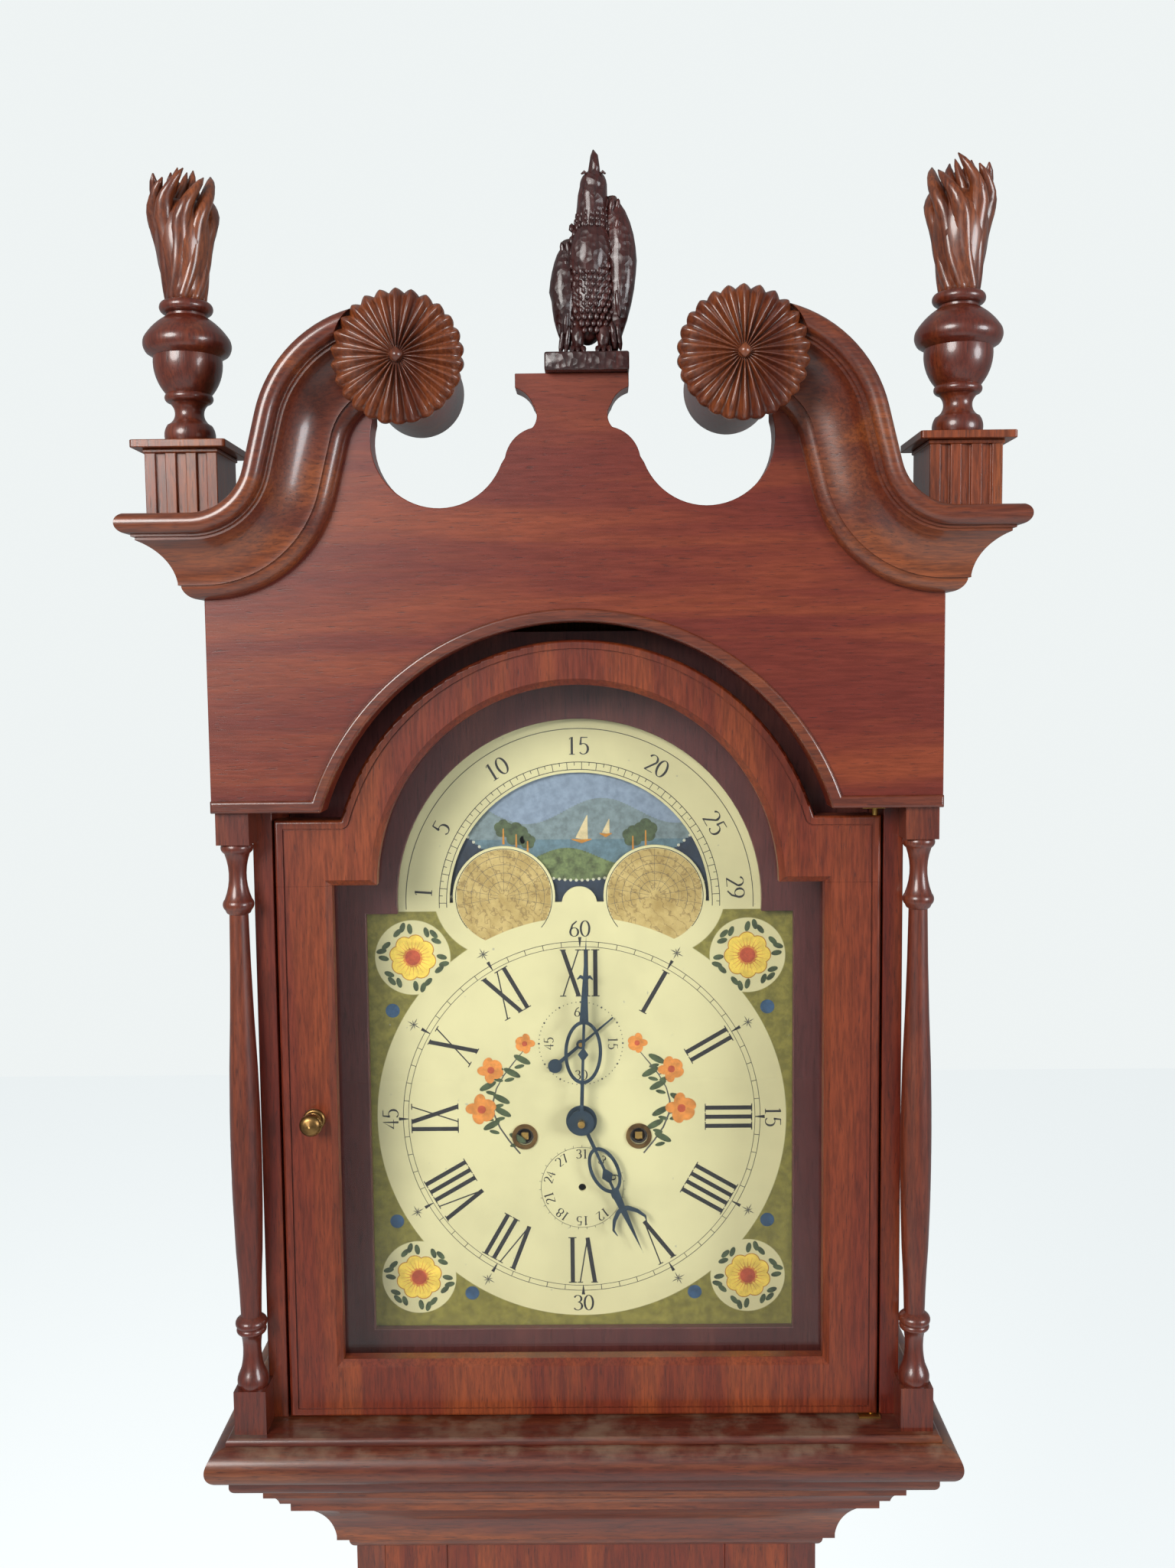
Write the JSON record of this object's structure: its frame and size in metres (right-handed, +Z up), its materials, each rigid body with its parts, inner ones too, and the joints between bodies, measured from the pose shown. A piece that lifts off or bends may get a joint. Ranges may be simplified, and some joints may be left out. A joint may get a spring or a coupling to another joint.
{
  "type": "longcase clock",
  "caption": "Tall longcase clock in mahogany with swan-neck hood, fluted plinths, carved finials, painted moon dial and weight-driven movement.",
  "frame": {"origin": "on the floor, under the middle of the bounding box", "axes": "+Z up, the dial faces -Y, +X to the right of someone who looks at the dial"},
  "size_m": [0.552, 0.293, 2.3924],
  "materials": {
    "mahogany": "french polished",
    "mahogany_dark": "french polished",
    "pine": "rough sawn",
    "glass": "clear",
    "dial_paint": "painted iron",
    "moon_paint": "painted",
    "brass": "lacquered",
    "brass_aged": "aged",
    "steel": "polished",
    "blued_steel": "blued",
    "bell_metal": "cast",
    "gut": "gut line"
  },
  "bodies": {
    "case": {"bracket_feet": "mahogany", "base_lower_moulding": "mahogany", "base_boards": "mahogany", "base_upper_moulding": "mahogany", "waist_frame": "mahogany", "waist_sides": "mahogany", "quarter_columns": "mahogany", "backboard": "pine", "throat_moulding": "mahogany", "seatboard": "pine", "waist_hinge_frame_leaves": "brass_aged", "dial": "dial_paint", "winding_grommets": "brass", "movement_frame": "brass", "bell": "bell_metal", "line_tops": "gut"},
    "waist_door": {"waist_door_panel": "mahogany", "lock_and_escutcheon": "brass_aged", "waist_hinge_door_leaves": "brass_aged"},
    "hood": {"hood_base_moulding": "mahogany", "hood_sides": "mahogany", "hood_top_boards": "pine", "tympanum": "mahogany", "arch_strip": "mahogany", "swan_necks": "mahogany", "cornice_returns": "mahogany", "rosette_barrels": "mahogany_dark", "rosettes": "mahogany_dark", "corner_plinths": "mahogany", "urns": "mahogany", "flames": "mahogany", "eagle": "mahogany_dark", "hood_columns": "mahogany", "dial_mask": "mahogany", "hood_door_pivots": "brass_aged"},
    "hood_door": {"hood_door_frame": "mahogany", "hood_door_glass": "glass", "hood_door_knob": "brass_aged"},
    "minute_work": {"centre_wheel": "brass", "minute_hand": "blued_steel"},
    "hour_work": {"hour_wheel": "brass", "hour_hand": "blued_steel"},
    "motion_work": {"motion_wheel": "brass"},
    "third_work": {"third_wheel": "brass"},
    "escape_work": {"escape_wheel": "brass", "seconds_hand": "blued_steel"},
    "going_great": {"going_great_wheel": "brass"},
    "strike_great": {"strike_great_wheel": "brass"},
    "going_drum": {"going_barrel": "brass"},
    "strike_drum": {"strike_barrel": "brass"},
    "pin_work": {"pin_wheel": "brass"},
    "hammer_work": {"hammer": "steel"},
    "moon_work": {"moon_disc": "moon_paint"},
    "pendulum": {"pallets_and_crutch": "steel", "pendulum_rod": "steel", "pendulum_bob": "brass"},
    "going_fall": {"going_weight": "brass", "going_line": "gut"},
    "strike_fall": {"strike_weight": "brass", "strike_line": "gut"}
  },
  "joints": [
    {"name": "hood_slide", "type": "slide", "parent": "case", "child": "hood", "axis": [0, -1, 0], "range_m": [0, 0.35]},
    {"name": "hood_door_hinge", "type": "hinge", "parent": "hood", "child": "hood_door", "pos_m": [0.1955, -0.0738, 1.768], "axis": [0, 0, 1], "range_deg": [0, 105]},
    {"name": "waist_door_hinge", "type": "hinge", "parent": "case", "child": "waist_door", "pos_m": [0.1092, -0.0351, 0.966], "axis": [0, 0, 1], "range_deg": [0, 110]},
    {"name": "minute_turn", "type": "hinge", "parent": "case", "child": "minute_work", "pos_m": [0, 0.0445, 1.7509], "axis": [0, 1, 0], "continuous": true},
    {"name": "hour_turn", "type": "hinge", "parent": "case", "child": "hour_work", "pos_m": [0, 0.0025, 1.7509], "axis": [0, 1, 0], "continuous": true},
    {"name": "motion_turn", "type": "hinge", "parent": "case", "child": "motion_work", "pos_m": [-0.0264, 0.0065, 1.7509], "axis": [0, 1, 0], "continuous": true},
    {"name": "third_turn", "type": "hinge", "parent": "case", "child": "third_work", "pos_m": [0.0092, 0.0345, 1.7805], "axis": [0, 1, 0], "continuous": true},
    {"name": "escape_turn", "type": "hinge", "parent": "case", "child": "escape_work", "pos_m": [0, 0.0445, 1.8048], "axis": [0, 1, 0], "continuous": true},
    {"name": "going_great_turn", "type": "hinge", "parent": "case", "child": "going_great", "pos_m": [0.0406, 0.0535, 1.7375], "axis": [0, 1, 0], "continuous": true},
    {"name": "strike_great_turn", "type": "hinge", "parent": "case", "child": "strike_great", "pos_m": [-0.0406, 0.0595, 1.7375], "axis": [0, 1, 0], "continuous": true},
    {"name": "pin_turn", "type": "hinge", "parent": "case", "child": "pin_work", "pos_m": [-0.036, 0.0445, 1.78], "axis": [0, 1, 0], "continuous": true},
    {"name": "moon_turn", "type": "hinge", "parent": "case", "child": "moon_work", "pos_m": [0, -0.0112, 1.904], "axis": [0, 1, 0], "continuous": true},
    {"name": "hammer_lift", "type": "hinge", "parent": "case", "child": "hammer_work", "pos_m": [-0.05, 0.0445, 1.816], "axis": [0, 1, 0], "range_deg": [-12, 0], "stiffness_Nm_per_rad": 0.05, "springref_deg": 2.86},
    {"name": "pendulum_swing", "type": "hinge", "parent": "case", "child": "pendulum", "pos_m": [0, 0.1015, 1.8288], "axis": [0, 1, 0], "range_deg": [-2, 2]},
    {"name": "going_fall_slide", "type": "slide", "parent": "case", "child": "going_fall", "axis": [0, 0, -1], "range_m": [-0.2, 0.72], "deforming": ["going_line"]},
    {"name": "strike_fall_slide", "type": "slide", "parent": "case", "child": "strike_fall", "axis": [0, 0, -1], "range_m": [-0.2, 0.72], "deforming": ["strike_line"]},
    {"name": "going_drum_turn", "type": "hinge", "parent": "case", "child": "going_drum", "pos_m": [0.0406, 0.0315, 1.7375], "axis": [0, 1, 0], "range_deg": [-1015, 3640]},
    {"name": "strike_drum_turn", "type": "hinge", "parent": "case", "child": "strike_drum", "pos_m": [-0.0406, 0.0315, 1.7375], "axis": [0, 1, 0], "range_deg": [-3640, 1015]}
  ],
  "couplings": [
    {"joint": "hour_turn", "follows": "minute_turn", "ratio": 0.083333},
    {"joint": "motion_turn", "follows": "minute_turn", "ratio": -1},
    {"joint": "third_turn", "follows": "minute_turn", "ratio": -7.5},
    {"joint": "escape_turn", "follows": "minute_turn", "ratio": 60},
    {"joint": "going_great_turn", "follows": "minute_turn", "ratio": -0.083333},
    {"joint": "pin_turn", "follows": "strike_great_turn", "ratio": -12},
    {"joint": "going_drum_turn", "follows": "going_fall_slide", "rad_per_m": 87.527},
    {"joint": "strike_drum_turn", "follows": "strike_fall_slide", "rad_per_m": -87.527}
  ]
}
